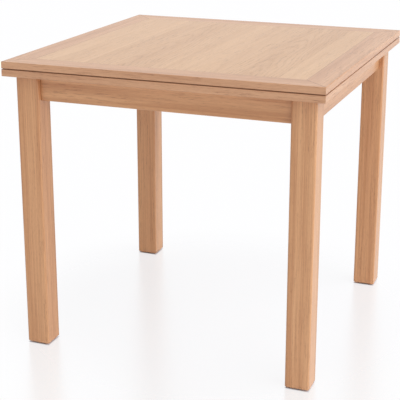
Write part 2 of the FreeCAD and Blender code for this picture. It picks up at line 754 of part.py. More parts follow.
def save_frame():
    """Legs, aprons, corner joints, felt and glides."""
    legs = leg()
    blocks = corner_block()
    for name, signs in QUADRANTS.items():
        save("leg_" + name, in_quadrant(legs, signs))
        save("corner_block_" + name, in_quadrant(blocks, signs))
    back = apron()
    right = side_apron()
    save("apron_back", back)
    save("apron_front", back.mirror(ORIGIN, ALONG_Y))
    save("apron_right", right)
    save("apron_left", right.mirror(ORIGIN, ALONG_X))
    block_screw = screw(block_screw_line(), ALONG_Y, block_screw_length)
    save("corner_block_screws", in_all_quadrants(block_screw) + in_all_quadrants(swapped(block_screw)))
    save("hanger_bolts", in_all_quadrants(hanger_bolt()))
    save("hanger_washers", in_all_quadrants(hanger_washer()))
    save("hanger_nuts", in_all_quadrants(hanger_nut()))
    save("felt_strips", [quarter_turned(felt_strip(), turns) for turns in range(4)])
    save("foot_glides", in_all_quadrants(foot_glide()))


def save_pivot_support():
    """Rail, cleats, bush and slip washer, which stay with the frame."""
    cleat = rail_cleat()
    save("pivot_rail", pivot_rail())
    save("rail_cleat_right", cleat)
    save("rail_cleat_left", cleat.mirror(ORIGIN, ALONG_X))
    cleat_screws = [screw(start, ALONG_X, cleat_screw_length) for start in cleat_screw_starts()]
    rail_screws = [screw(start, DOWN, rail_screw_length) for start in rail_screw_starts()]
    save("cleat_screws", on_both_ends(cleat_screws))
    save("rail_screws", on_both_ends(rail_screws))
    save("pivot_bush", pivot_bush())
    slip_washer = washer(STUD_RADIUS, PIVOT_WASHER_RADIUS, at_pivot(slip_washer_base), at_pivot(rail_base))
    save("pivot_slip_washer", slip_washer)


def save_pivot():
    """Plate, stud, washers, nut and stop peg, which turn with the lower leaf."""
    save("pivot_plate", pivot_plate())
    save("pivot_stud", rod(STUD_RADIUS, at_pivot(stud_base), at_pivot(pivot_plate_top)))
    steel_washer = washer(STUD_RADIUS, PIVOT_WASHER_RADIUS, at_pivot(spring_washer_top),
                          at_pivot(pivot_washer_top))
    save("pivot_washer", steel_washer)
    save("pivot_spring_washer", pivot_spring_washer())
    save("pivot_lock_nut", pivot_lock_nut())
    save("pivot_plate_screws", [screw(start, UP, pivot_screw_length) for start in pivot_screw_starts()])
    save("stop_peg", stop_peg())


def save_leaf_panels():
    """Cores and veneers; the lower ones have openings for the pivot plate and the peg."""
    sheets = [veneer(0), veneer(LEAF_THICKNESS - VENEER_THICKNESS)]
    save("upper_leaf_core", on_upper(core()))
    save("upper_leaf_veneers", [on_upper(sheet) for sheet in sheets])
    recess_radius = PIVOT_PLATE_RADIUS + GLUE_CLEARANCE
    recess = bar(recess_radius, PLATE_SIDES, at_pivot(frame_top), at_pivot(pivot_plate_top))
    socket_radius = STOP_PEG_RADIUS + RUNNING_CLEARANCE
    socket_end = peg_place + UP * (lower_leaf_base + peg_socket)
    socket = bar(socket_radius, SMALL_ROUND_SIDES, socket_end, peg_place + UP * frame_top)
    holes = [screw_hole(start, UP, pivot_screw_length) for start in pivot_screw_starts()]
    save("lower_leaf_core", on_lower(core()).cut([recess, socket] + holes).Solids[0])
    inner_sheet, under_sheet = [on_lower(sheet) for sheet in sheets]
    save("lower_leaf_veneers", [inner_sheet, under_sheet.cut([recess, socket]).Solids[0]])


os.makedirs("parts", exist_ok=True)
save_frame()
save_pivot_support()
save_pivot()
save_leaf_panels()
save_leaf("upper", on_upper)
save_leaf("lower", on_lower)
save("leaf_bumpers", in_all_quadrants(bumper()))
links = hinge_link()
for link_side, link_offset in zip(("left", "right"), hinge_places):
    save("hinge_link_" + link_side, moved(links, link_offset))
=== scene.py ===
import json
import math

import bmesh
import bpy
from mathutils import Matrix, Vector

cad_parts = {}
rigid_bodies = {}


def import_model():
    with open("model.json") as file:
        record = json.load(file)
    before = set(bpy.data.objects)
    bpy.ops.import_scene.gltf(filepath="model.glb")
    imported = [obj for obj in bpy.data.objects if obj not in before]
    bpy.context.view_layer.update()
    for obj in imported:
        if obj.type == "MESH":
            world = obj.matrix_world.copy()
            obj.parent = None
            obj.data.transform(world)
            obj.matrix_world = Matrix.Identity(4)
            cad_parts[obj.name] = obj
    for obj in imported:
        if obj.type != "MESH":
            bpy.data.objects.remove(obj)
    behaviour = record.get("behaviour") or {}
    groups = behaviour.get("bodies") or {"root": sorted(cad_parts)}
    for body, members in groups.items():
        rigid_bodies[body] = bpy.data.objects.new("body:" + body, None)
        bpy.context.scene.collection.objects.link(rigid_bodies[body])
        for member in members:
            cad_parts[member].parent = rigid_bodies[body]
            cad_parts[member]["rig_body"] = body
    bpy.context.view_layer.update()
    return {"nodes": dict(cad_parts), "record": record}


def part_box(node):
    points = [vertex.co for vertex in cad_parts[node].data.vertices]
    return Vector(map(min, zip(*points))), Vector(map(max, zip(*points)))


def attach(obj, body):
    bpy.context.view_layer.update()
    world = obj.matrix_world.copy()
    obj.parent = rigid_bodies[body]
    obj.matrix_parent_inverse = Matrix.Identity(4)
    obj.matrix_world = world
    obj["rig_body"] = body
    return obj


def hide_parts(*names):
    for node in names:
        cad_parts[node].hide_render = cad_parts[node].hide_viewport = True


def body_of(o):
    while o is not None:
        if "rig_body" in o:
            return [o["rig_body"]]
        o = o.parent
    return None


# Looks of the swivel extending table: finishes for the CAD nodes, round hardware and a pale studio.
# Lengths are in metres.

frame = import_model()
nodes = frame["nodes"]
slot_of = {part["node"]: part["material_slot"] for part in frame["record"]["subparts"]}

# Photograph's camera, with the image taken as a 400 pixel square and the angles in degrees
IMAGE_SIDE = 400
SENSOR = 36.0
FOCAL_PIXELS = 1087.8
CAMERA_PLACE = (0.9735, -2.6178, 1.2390)
CAMERA_TURN = 21.25
CAMERA_DROP = 16.19
CAMERA_SHIFT = -0.10
CAMERA_REACH = 200.0

# Places read from the frame: half the width of the field inside its borders, the height of the middle
# of the gap between the leaves, and the inner side, outer side, middle and half width of a leg
FIELD_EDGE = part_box("upper_leaf_veneers")[1][0]
GAP_HEIGHT = (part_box("lower_leaf_border_front")[1][2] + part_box("upper_leaf_border_front")[0][2]) / 2
LEG_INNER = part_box("leg_back_right")[0][0]
LEG_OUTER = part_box("leg_back_right")[1][0]
LEG_CENTRE = (LEG_INNER + LEG_OUTER) / 2
LEG_HALF = (LEG_OUTER - LEG_INNER) / 2


# Nodes of the materials and of the world

# Sockets of a Mix node for colours, which share their names with its sockets for numbers
MIX_SHARE = 0
MIX_FIRST = 6
MIX_LAST = 7
MIX_RESULT = 2


class NodeTree:
    """The nodes of a material or of the world."""

    def __init__(self, tree):
        self.tree = tree

    def node(self, kind, inputs=None, **settings):
        """Add a node; inputs are plain values or the outputs of other nodes."""
        made = self.tree.nodes.new(kind)
        for name, value in settings.items():
            setattr(made, name, value)
        for name, value in (inputs or {}).items():
            self.put(made.inputs[name], value)
        return made

    def put(self, socket, value):
        """Set a socket to a value, or link an output to it."""
        if isinstance(value, bpy.types.NodeSocket):
            self.tree.links.new(value, socket)
        else:
            socket.default_value = value

    def math(self, operation, first, second=0.0):
        """One arithmetic step."""
        return self.node("ShaderNodeMath", {0: first, 1: second}, operation=operation).outputs[0]

    def apart(self, first, second):
        """How far two values are apart."""
        return self.math("ABSOLUTE", self.math("SUBTRACT", first, second))

    def total(self, values, shares):
        """A sum of named values, each times its share."""
        result = 0.0
        for name, share in shares.items():
            result = self.math("ADD", self.math("MULTIPLY", values[name], share), result)
        return result

    def ramp(self, value, low, high, first=0.0, last=1.0):
        """A value eased from first at low to last at high."""
        inputs = {"Value": value, "From Min": low, "From Max": high, "To Min": first, "To Max": last}
        return self.node("ShaderNodeMapRange", inputs, interpolation_type="SMOOTHSTEP").outputs["Result"]

    def seen(self):
        """One for rays that show the surroundings: from the camera, in gloss and through glass."""
        rays = self.node("ShaderNodeLightPath").outputs
        either = self.math("MAXIMUM", rays["Is Camera Ray"], rays["Is Glossy Ray"])
        return self.math("MAXIMUM", either, rays["Is Transmission Ray"])


class Shader(NodeTree):
    """One material and its nodes."""

    def __init__(self, name):
        self.material = bpy.data.materials.new(name)
        self.material.use_nodes = True
        super().__init__(self.material.node_tree)
        self.surface = self.tree.nodes["Principled BSDF"]

    def set(self, **inputs):
        """Set inputs of the surface, with the spaces in their names written as underscores."""
        for name, value in inputs.items():
            self.put(self.surface.inputs[name.replace("_", " ")], value)

    def place(self):
        """Place on the piece in metres, which moves with the piece."""
        return self.node("ShaderNodeTexCoord").outputs["Object"]

    def parts(self, vector):
        """The three numbers of a vector."""
        return self.node("ShaderNodeSeparateXYZ", {"Vector": vector}).outputs

    def mix(self, share, first, last):
        """Two colours mixed."""
        inputs = {MIX_SHARE: share, MIX_FIRST: first, MIX_LAST: last}
        return self.node("ShaderNodeMix", inputs, data_type="RGBA").outputs[MIX_RESULT]

    def blend(self, share, first, last):
        """Two surfaces mixed."""
        return self.node("ShaderNodeMixShader", {0: share, 1: first.outputs[0], 2: last.outputs[0]})

    def noise(self, vector, scale, detail=3.0, roughness=0.55, distortion=0.0):
        """Smooth noise around a half; scale counts its changes in a metre."""
        inputs = {"Vector": vector, "Scale": scale, "Detail": detail, "Roughness": roughness,
                  "Distortion": distortion}
        return self.node("ShaderNodeTexNoise", inputs).outputs["Fac"]

    def streaks(self, vector, along, across, **settings):
        """Noise drawn out along the first axis; along and across count its changes in a metre."""
        scales = {0: vector, 1: (along, across, across)}
        squeezed = self.node("ShaderNodeVectorMath", scales, operation="MULTIPLY").outputs[0]
        return self.noise(squeezed, 1.0, **settings)

    def chance(self, vector):
        """One random value for each whole-numbered place."""
        made = self.node("ShaderNodeTexWhiteNoise", {"Vector": vector}, noise_dimensions="3D")
        return made.outputs["Value"]

    def bump(self, height, strength, distance):
        """Relief from a height."""
        inputs = {"Height": height, "Strength": strength, "Distance": distance}
        self.set(Normal=self.node("ShaderNodeBump", inputs).outputs["Normal"])


def colour(red, green, blue):
    """A colour given as it shows on a screen, from 0 to 255."""
    linear = []
    for level in (red / 255, green / 255, blue / 255):
        linear.append(level / 12.92 if level <= 0.04045 else ((level + 0.055) / 1.055) ** 2.4)
    return (*linear, 1.0)


WHITE = (1.0, 1.0, 1.0, 1.0)


# Wood

# Turns that bring the grain onto the first axis, and the noise's shift along each axis for a seed of 1
GRAIN_TURNS = {"X": (0.0, 0.0, 0.0), "Y": (0.0, 0.0, -math.pi / 2), "Z": (0.0, math.pi / 2, 0.0),
               "rising": (0.0, 0.0, -math.pi / 4), "falling": (0.0, 0.0, math.pi / 4)}
SEED_SHIFTS = (1.0, 0.37, 0.61)

# Light, middle and dark tone of each kind of wood
FIELD_TONES = (colour(229, 184, 138), colour(193, 142, 96), colour(136, 86, 50))
BORDER_TONES = (colour(225, 175, 133), colour(190, 136, 97), colour(136, 82, 50))
OAK_TONES = (colour(228, 174, 125), colour(192, 133, 87), colour(146, 90, 52))
BEECH_TONES = (colour(230, 200, 162), colour(208, 172, 132), colour(168, 124, 88))

# Layers of the grain: changes in a metre along and across it, and the settings of their noise
BANDS = {"along": 1.2, "across": 28.0, "detail": 2.0, "roughness": 0.5, "distortion": 0.5}
STREAKS = {"along": 2.5, "detail": 3.0, "roughness": 0.6, "distortion": 0.3}
CLUSTERS = {"along": 4.0, "across": 22.0, "detail": 1.0, "roughness": 0.5}
FLECKS = {"across": 420.0, "detail": 1.0, "roughness": 0.5}
PORES = {"along": 70.0, "across": 1600.0, "detail": 1.0, "roughness": 0.5}
FIBRES = {"along": 12.0, "across": 900.0, "detail": 3.0, "roughness": 0.65}

# Levels of the noise between which a layer comes in
STREAK_LEVELS = (0.35, 0.65)
CLUSTER_LEVELS = (0.40, 0.62)
FLECK_LEVELS = (0.52, 0.64)
PORE_LEVELS = (0.50, 0.62)
FIBRE_LEVELS = (0.2, 0.8)

# Shares of the layers in the middle tone, and then in the dark tone
SOLID_SHARES = {"bands": 0.38, "streaks": 0.32, "staves": 0.30}
# The front apron's stronger streaks make it darker and the side apron's weaker ones make it paler: partly
# grain, and partly painted shade on the front apron and painted sheen on the side apron
FRONT_APRON_SHARES = {"bands": 0.38, "streaks": 0.45, "staves": 0.30}
SIDE_APRON_SHARES = {"bands": 0.38, "streaks": 0.22, "staves": 0.30}
LEG_SHARES = {"bands": 0.26, "streaks": 0.46, "staves": 0.30}
FIELD_SHARES = {"bands": 0.24, "streaks": 0.12, "boards": 0.40, "rings": 0.18}
SOLID_DARKS = {"strokes": 0.52, "pores": 0.14}
FIELD_DARKS = {"strokes": 0.36, "broken_rings": 0.42, "pores": 0.12}

# Width of the staves, length of the dark strokes, changes of the fine streaks in a metre, and what is
# left of the strokes between their clusters and between the pores
STAVE_WIDTH = 0.030
STROKE_LENGTH = 0.04
STREAK_FINENESS = 120.0
CLUSTER_FADE = 0.35
PORE_FADE = 0.35
LEG_STROKE_LENGTH = 0.08
LEG_STREAK_FINENESS = 360.0
LEG_CLUSTER_FADE = 0.45
BEECH_STAVE_WIDTH = 0.2
BEECH_STROKE_LENGTH = 0.02

# Surface of the wood and its lacquer
WOOD_ROUGHNESS = (0.42, 0.58)
WOOD_SPECULAR = 0.4
GRAIN_RELIEF = 0.15
GRAIN_DEPTH = 0.0006
LACQUER_WEIGHT = 0.45
LACQUER_ROUGHNESS = 0.20

# Boards of the field from left to right: left edge, tone, strength of the arched figure and its heart,
# each as a share of the field's width or of the whole range
FIELD_BOARDS = (
    (0.000, 0.30, 0.10, 0.10),
    (0.190, 0.62, 0.90, 0.33),
    (0.475, 0.35, 0.15, 0.55),
    (0.600, 0.55, 0.30, 0.64),
    (0.690, 0.66, 0.95, 0.79),
    (0.905, 0.20, 0.05, 0.95),
)

# Growth rings: their spacing, how deep under the board their centre lies, what the distance from it is
# summed from, the noise that makes them sway, and the levels of the wave that draws them
RING_SPACING = 0.0075
RING_DEPTH = 0.030
RING_PATH = {"reach": 1.0, "along": 0.055, "sway": 0.03}
RING_SWAY = {"along": 4.0, "across": 12.0}
RING_LEVELS = (0.1, 1.0)

# Fine dark lines of the joints, and painted shade on the borders' side faces along the gap between the
# leaves:
# the lines' width, the share of the dark tone in each, the distances from the gap's middle over which its
# painted shade fades, and the upright part of a normal at which a face counts as level
JOINT_LINE = 0.0012
MITRE_SHARE = 0.95
FIELD_JOINT_SHARE = 0.70
SHOULDER_SHARE = 0.95
# Painted shade along the gap between the leaves: its share of the dark tone and its fade
GAP_SHADE_SHARE = 0.90
GAP_SHADE_FADE = (0.0012, 0.0022)
LEVEL_FACE = (0.85, 0.97)


def grain_frame(shader, axis, seed):
    """Place on the piece, turned so that the grain runs along the first axis."""
    shift = tuple(step * seed for step in SEED_SHIFTS)
    inputs = {"Vector": shader.place(), "Location": shift, "Rotation": GRAIN_TURNS[axis]}
    return shader.node("ShaderNodeMapping", inputs).outputs["Vector"]


def grain_layers(shader, grain, stroke, fineness, fade):
    """Bands, streaks, dark strokes, pores and fibres along the grain."""
    pores = shader.ramp(shader.streaks(grain, **PORES), *PORE_LEVELS)
    flecks = shader.ramp(shader.streaks(grain, along=1 / stroke, **FLECKS), *FLECK_LEVELS)
    dashes = shader.math("MULTIPLY", flecks, shader.ramp(pores, 0.0, 1.0, PORE_FADE, 1.0))
    clusters = shader.ramp(shader.streaks(grain, **CLUSTERS), *CLUSTER_LEVELS, fade, 1.0)
    return {
        "bands": shader.ramp(shader.streaks(grain, **BANDS), *STREAK_LEVELS),
        "streaks": shader.ramp(shader.streaks(grain, across=fineness, **STREAKS), *STREAK_LEVELS),
        "dashes": dashes,
        "strokes": shader.math("MULTIPLY", dashes, clusters),
        "pores": pores,
        "fibres": shader.streaks(grain, **FIBRES),
    }


def stave_tone(shader, grain, width, seed):
    """A random tone for each stave that the piece is glued up from."""
    grain_parts = shader.parts(grain)
    steps = [shader.math("FLOOR", shader.math("DIVIDE", grain_parts[side], width)) for side in ("Y", "Z")]
    key = shader.node("ShaderNodeCombineXYZ", {"X": steps[0], "Y": steps[1], "Z": seed})
    return shader.chance(key.outputs[0])


def field_figure(shader, grain, dashes):
    """Tones of the field's boards, and their arched growth rings, whole and broken into dashes."""
    place = shader.parts(shader.place())
    across = shader.math("DIVIDE", shader.math("ADD", place["X"], FIELD_EDGE), 2 * FIELD_EDGE)
    table = shader.node("ShaderNodeValToRGB", {"Fac": across})
    table.color_ramp.interpolation = "CONSTANT"
    stops = table.color_ramp.elements
    for index, (edge, tone, strength, heart) in enumerate(FIELD_BOARDS):
        stop = stops[index] if index < len(stops) else stops.new(edge)
        stop.position = edge
        stop.color = (tone, strength, heart, 1.0)
    board = shader.node("ShaderNodeSeparateColor", {"Color": table.outputs["Color"]}).outputs
    from_heart = shader.math("MULTIPLY", shader.math("SUBTRACT", across, board["Blue"]), 2 * FIELD_EDGE)
    squares = shader.math("ADD", shader.math("POWER", from_heart, 2.0), RING_DEPTH ** 2)
    sway = shader.streaks(grain, **RING_SWAY)
    path = {"reach": shader.math("SQRT", squares), "along": place["Y"], "sway": sway}
    phase = shader.math("MULTIPLY", shader.total(path, RING_PATH), 2 * math.pi / RING_SPACING)
    waves = shader.ramp(shader.math("SINE", phase), *RING_LEVELS)
    rings = shader.math("MULTIPLY", waves, board["Green"])
    return {"boards": board["Red"], "rings": rings, "broken_rings": shader.math("MULTIPLY", rings, dashes)}


def fine_line(shader, distance, share):
    """A dark line that fades out with the distance from a joint."""
    return shader.ramp(distance, 0.5 * JOINT_LINE, 1.5 * JOINT_LINE, share, 0.0)


def border_lines(shader):
    """Dark lines of a border at its mitres and its joint with the field, and painted shade on its side faces
    along the gap between the leaves.
    """
    place = shader.parts(shader.place())
    reach = [shader.math("ABSOLUTE", place[axis]) for axis in ("X", "Y")]
    facing = shader.parts(shader.node("ShaderNodeTexCoord").outputs["Normal"])
    on_face = shader.ramp(shader.math("ABSOLUTE", facing["Z"]), *LEVEL_FACE)
    mitre = fine_line(shader, shader.apart(*reach), MITRE_SHARE)
    from_field = shader.math("SUBTRACT", shader.math("MAXIMUM", *reach), FIELD_EDGE)
    field_joint = fine_line(shader, from_field, FIELD_JOINT_SHARE)
    joints = shader.math("MULTIPLY", shader.math("MAXIMUM", mitre, field_joint), on_face)
    # Painted shade: side faces are darkened near the middle of the gap between the leaves
    gap_shade = shader.ramp(shader.apart(place["Z"], GAP_HEIGHT), *GAP_SHADE_FADE, GAP_SHADE_SHARE, 0.0)
    arris = shader.math("MULTIPLY", gap_shade, shader.math("SUBTRACT", 1.0, on_face))
    return shader.math("MAXIMUM", joints, arris)


def shoulder_lines(shader, axis):
    """Dark lines at the two ends of an apron, where its shoulders meet the legs."""
    reach = shader.math("ABSOLUTE", shader.parts(shader.place())[axis])
    return fine_line(shader, shader.math("SUBTRACT", LEG_INNER, reach), SHOULDER_SHARE)


def wood(name, axis, seed, tones, shares=SOLID_SHARES, darks=SOLID_DARKS, lacquer=LACQUER_WEIGHT,
         stave=STAVE_WIDTH, stroke=STROKE_LENGTH, fineness=STREAK_FINENESS, fade=CLUSTER_FADE,
         figured=False, mitred_with_gap_shade=False, shouldered=False):
    """Wood with streaks, dark strokes and open pores along its grain, and a clear coat of some weight."""
    shader = Shader(name)
    grain = grain_frame(shader, axis, seed)
    layers = grain_layers(shader, grain, stroke, fineness, fade)
    if figured:
        layers.update(field_figure(shader, grain, layers["dashes"]))
    else:
        layers["staves"] = stave_tone(shader, grain, stave, seed)
    dark = shader.total(layers, darks)
    # Mitre and field joint lines, and painted shade along the gap between the leaves
    if mitred_with_gap_shade:
        dark = shader.math("MAXIMUM", dark, border_lines(shader))
    if shouldered:
        dark = shader.math("MAXIMUM", dark, shoulder_lines(shader, axis))
    light_tone, middle_tone, dark_tone = tones
    plain = shader.mix(shader.total(layers, shares), light_tone, middle_tone)
    shader.set(Base_Color=shader.mix(dark, plain, dark_tone))
    shader.set(Roughness=shader.ramp(layers["fibres"], *FIBRE_LEVELS, *WOOD_ROUGHNESS))
    shader.set(Specular_IOR_Level=WOOD_SPECULAR, Coat_Weight=lacquer, Coat_Roughness=LACQUER_ROUGHNESS)
    shader.bump(shader.math("SUBTRACT", layers["fibres"], dark), GRAIN_RELIEF, GRAIN_DEPTH)
    return shader.material


def leg_oak(name, axis, seed):
    """Oak with finer streaks and longer strokes."""
    return wood(name, axis, seed, OAK_TONES, LEG_SHARES, stroke=LEG_STROKE_LENGTH,
                fineness=LEG_STREAK_FINENESS, fade=LEG_CLUSTER_FADE)


def beech(name, axis, seed):
    """Bare beech in single pieces, with short strokes."""
    return wood(name, axis, seed, BEECH_TONES, lacquer=0.0, stave=BEECH_STAVE_WIDTH,
                stroke=BEECH_STROKE_LENGTH)


# Board, metal, nylon and felt

# Speckles, and the wider clouds behind them
SPECKLES = {"detail": 5.0, "roughness": 0.65}
SPECKLE_LEVELS = (0.40, 0.65)
SPECKLE_SHARES = {"speckles": 0.6, "clouds": 0.4}
SPECKLE_UNEVENNESS = 0.08
SPECKLE_RELIEF = 0.1
SPECKLE_DEPTH = 0.0005
CLOUD_WIDTH = 9
CLOUD_DETAIL = 2.0

# Brush marks and tarnish
BRUSH_MARKS = {"along": 60.0, "across": 2500.0, "detail": 2.0}
BRUSH_SHARES = {"tarnish": 0.4, "marks": 0.6}
BRUSH_UNEVENNESS = 0.06
BRUSH_RELIEF = 0.08
BRUSH_DEPTH = 0.0002
TARNISH = {"scale": 90.0, "detail": 3.0, "roughness": 0.5}
TARNISH_LEVELS = (0.40, 0.70)

# Levels of a noise between which the roughness changes
UNEVEN_LEVELS = (0.3, 0.7)


def uneven(shader, noise, roughness, unevenness):
    """A roughness that goes up and down a little with a noise."""
    return shader.ramp(noise, *UNEVEN_LEVELS, roughness - unevenness, roughness + unevenness)


def speckled(name, base, spot, fineness, roughness, relief=SPECKLE_RELIEF):
    """A finish with cloudy speckles of a second colour; fineness counts their changes in a metre."""
    shader = Shader(name)
    speckles = shader.noise(shader.place(), fineness, **SPECKLES)
    clouds = shader.noise(shader.place(), fineness / CLOUD_WIDTH, CLOUD_DETAIL)
    layers = {"speckles": shader.ramp(speckles, *SPECKLE_LEVELS), "clouds": clouds}
    shader.set(Base_Color=shader.mix(shader.total(layers, SPECKLE_SHARES), base, spot))
    shader.set(Roughness=uneven(shader, speckles, roughness, SPECKLE_UNEVENNESS))
    shader.bump(speckles, relief, SPECKLE_DEPTH)
    return shader.material


def brushed(name, axis, base, tarnish, roughness):
    """Metal with fine brush marks and a cloudy tarnish."""
    shader = Shader(name)
    marks = shader.streaks(grain_frame(shader, axis, 0.0), **BRUSH_MARKS)
    clouds = shader.noise(shader.place(), **TARNISH)
    layers = {"tarnish": shader.ramp(clouds, *TARNISH_LEVELS), "marks": shader.ramp(marks, *STREAK_LEVELS)}
    shader.set(Base_Color=shader.mix(shader.total(layers, BRUSH_SHARES), base, tarnish), Metallic=1.0)
    shader.set(Roughness=uneven(shader, marks, roughness, BRUSH_UNEVENNESS))
    shader.bump(marks, BRUSH_RELIEF, BRUSH_DEPTH)
    return shader.material


# Finish of each piece

# Wood has a name, the direction of its grain, a seed for its noise and its tones. A speckled finish has
# two colours, a fineness and a roughness, and a brushed one a direction, two colours and a roughness.
FINISHES = {
    "field": wood("oak_field", "Y", 1.7, FIELD_TONES, FIELD_SHARES, FIELD_DARKS, figured=True),
    # Borders carry their mitre lines and painted shade along the gap between the leaves
    "border_long": wood("oak_border_along_front", "X", 5.1, BORDER_TONES, mitred_with_gap_shade=True),
    "border_deep": wood("oak_border_along_side", "Y", 9.3, BORDER_TONES, mitred_with_gap_shade=True),
    # Front apron partly darkened as painted shade and side apron partly paled as painted sheen, through
    # their streak shares
    "apron_long": wood("oak_apron_along_front", "X", 2.9, OAK_TONES, FRONT_APRON_SHARES, shouldered=True),
    "apron_deep": wood("oak_apron_along_side", "Y", 6.3, OAK_TONES, SIDE_APRON_SHARES, shouldered=True),
    "leg": leg_oak("oak_leg", "Z", 3.3),
    "rail": beech("beech_rail", "X", 4.4),
    "cleat": beech("beech_cleat", "Y", 7.4),
    "peg": beech("beech_peg", "Z", 8.4),
    "rising_block": beech("beech_block_rising", "rising", 3.4),
    "falling_block": beech("beech_block_falling", "falling", 2.4),
    "core_board": speckled("core_board", colour(170, 136, 100), colour(140, 108, 78), 400.0, 0.80),
    "joint_wood": speckled("joint_wood", colour(224, 200, 160), colour(196, 164, 122), 300.0, 0.70),
    "hinge_brass": brushed("brass", "Y", colour(214, 180, 116), colour(186, 150, 90), 0.34),
    "zinc_steel": brushed("zinc", "Z", colour(200, 202, 206), colour(168, 172, 180), 0.36),
    "nylon": speckled("nylon", colour(84, 62, 46), colour(70, 52, 40), 900.0, 0.48),
    "felt": speckled("felt", colour(92, 72, 56), colour(70, 54, 42), 1500.0, 0.90, relief=0.4),
    "bumper": speckled("bumper", colour(222, 214, 200), colour(208, 200, 186), 500.0, 0.35),
}

BEECH_PIECES = {
    "pivot_rail": "rail", "rail_cleat_left": "cleat", "rail_cleat_right": "cleat", "stop_peg": "peg",
    "corner_block_front_left": "falling_block", "corner_block_back_right": "falling_block",
    "corner_block_front_right": "rising_block", "corner_block_back_left": "rising_block",
}


def finish_of(name):
    """The finish of a CAD node."""
    slot = slot_of[name]
    direction = "_long" if name.endswith(("front", "back")) else "_deep"
    by_slot = {"oak_field": "field", "oak_legs": "leg", "oak_border": "border" + direction,
               "oak_aprons": "apron" + direction}
    return BEECH_PIECES.get(name) or by_slot.get(slot) or slot


for node_name, node_object in nodes.items():
    node_object.data.materials.clear()
    node_object.data.materials.append(FINISHES[finish_of(node_name)])


# Eased arrises, which also show the joints as fine lines

ARRIS_WIDTHS = {"oak_border": 0.0009, "oak_aprons": 0.0009, "frame_wood": 0.0009, "oak_legs": 0.0025}
ARRIS_STEPS = 2
WELD_GAP = 0.00001
SHARP_ANGLE = math.radians(40.0)


def ease(node_object, width):
    """Break the sharp edges of a piece."""
    weld = node_object.modifiers.new("weld", "WELD")
    weld.merge_threshold = WELD_GAP
    bevel = node_object.modifiers.new("arris", "BEVEL")
    bevel.width = width
    bevel.segments = ARRIS_STEPS
    bevel.limit_method = "ANGLE"
    bevel.angle_limit = SHARP_ANGLE
    bevel.harden_normals = True


for node_name, node_object in nodes.items():
    if slot_of[node_name] in ARRIS_WIDTHS:
        ease(node_object, ARRIS_WIDTHS[slot_of[node_name]])


# Round hardware in place of the flat-sided solids, made of rings of radii at heights along an axis

RING_SIDES = 24
RING_ANGLES = [360.0 * side / RING_SIDES for side in range(RING_SIDES)]
SAME_PLACE = 0.000001

# Screws, bolts and threads: shares of a radius, and lengths
SCREW_SHARE = 0.92
SHANK_SHARE = 0.50
THREAD_SHARE = 0.74
MACHINE_THREAD_SHARE = 0.88
BOLT_SHARE = 0.97
END_SHARE = 0.8
POINT_SHARE = 0.1
THREAD_PITCH = 0.0022
BOLT_PITCH = 0.00125
STUD_PITCH = 0.00175
RIM = 0.0004

# Cross recess: shares of the head's radius, and the angle from an arm's middle line to its corner
RECESS_MOUTH = 0.55
RECESS_FLOOR = 0.30
RECESS_DEPTH = 0.45
ARM_SPREAD = math.radians(15.0)

# Holes, as shares of the radius
BOLT_HOLE = 0.53
STUD_HOLE = 0.44
NUT_BORE = 0.54
LOCK_NUT_BORE = 0.55

# Glides, bumpers and peg: lengths, and steps as shares of the radius and of the height
GLIDE_PAD = 0.003
GLIDE_STEM = 0.0038
GLIDE_STEM_END = 0.6
GLIDE_RIM = ((0.70, 0.0), (0.94, 0.1), (1.0, 0.4), (1.0, 1.0))
BUMPER_DOME = ((1.0, 0.0), (1.0, 0.35), (0.92, 0.65), (0.70, 0.90), (0.35, 1.0))
PEG_CHAMFER = 0.002


def ring(radius):
    """Radii of a round ring."""
    return [radius] * RING_SIDES


def rounds(*steps):
    """Round rings, each from its radius and its height."""
    return [(ring(radius), height) for radius, height in steps]


def scaled(shape, radius, height):
    """Round rings of a shape whose steps are shares of a radius and of a height."""
    return rounds(*[(wide * radius, tall * height) for wide, tall in shape])


def hexagon_ring(flats, limit):
    """Radii of a hexagon, cut back to a circle at its corners."""
    radii = []
    for angle in RING_ANGLES:
        from_flat = math.radians(angle % 60.0 - 30.0)
        radii.append(min(flats / 2 / math.cos(from_flat), limit))
    return radii


def hexagon(radius):
    """Rings of a hexagonal nut: cut back at its faces, and full between them."""
    flats = 2 * radius * math.cos(math.radians(30.0))
    face_circle = 0.51 * flats
    return hexagon_ring(flats, face_circle), hexagon_ring(flats, radius)


def cross_ring(arm):
    """Radii of a cross with arms of one length."""
    half_width = arm * math.tan(ARM_SPREAD)
    radii = []
    for angle in RING_ANGLES:
        off_arm = math.radians(45.0 - abs(angle % 90.0 - 45.0))
        beside = half_width / math.sin(off_arm) if off_arm else arm
        radii.append(min(arm / math.cos(off_arm), beside))
    return radii


def threads(radius, start, end, pitch, core=THREAD_SHARE):
    """Rings of a thread between two heights; core is the share of the radius that its grooves leave."""
    turns = max(int((end - start) / pitch), 1)
    rings = []
    for turn in range(turns):
        rings += rounds((radius, start + turn * pitch), (radius * core, start + (turn + 0.5) * pitch))
    return rings


def screw_rings(length, radius):
    """Countersunk wood screw with a cross recess in its head."""
    head = radius * SCREW_SHARE
    shank = head * SHANK_SHARE
    neck = head - shank + RIM
    point = 2 * shank
    recess = [(cross_ring(RECESS_FLOOR * head), RECESS_DEPTH * head), (cross_ring(RECESS_MOUTH * head), 0.0)]
    rim = rounds((head - RIM / 2, 0.0), (head, RIM / 2), (head, RIM), (shank, neck))
    thread = threads(shank, neck + shank, length - point, THREAD_PITCH)
    return recess + rim + thread + rounds((POINT_SHARE * shank, length))


def washer_rings(length, radius, hole):
    """Flat washer with rounded rims; hole is a share of its radius."""
    inner = hole * radius
    edge = 0.2 * length
    lower = rounds((inner, 0.0), (radius - edge, 0.0), (radius, edge))
    return lower + rounds((radius, length - edge), (radius - edge, length), (inner, length))


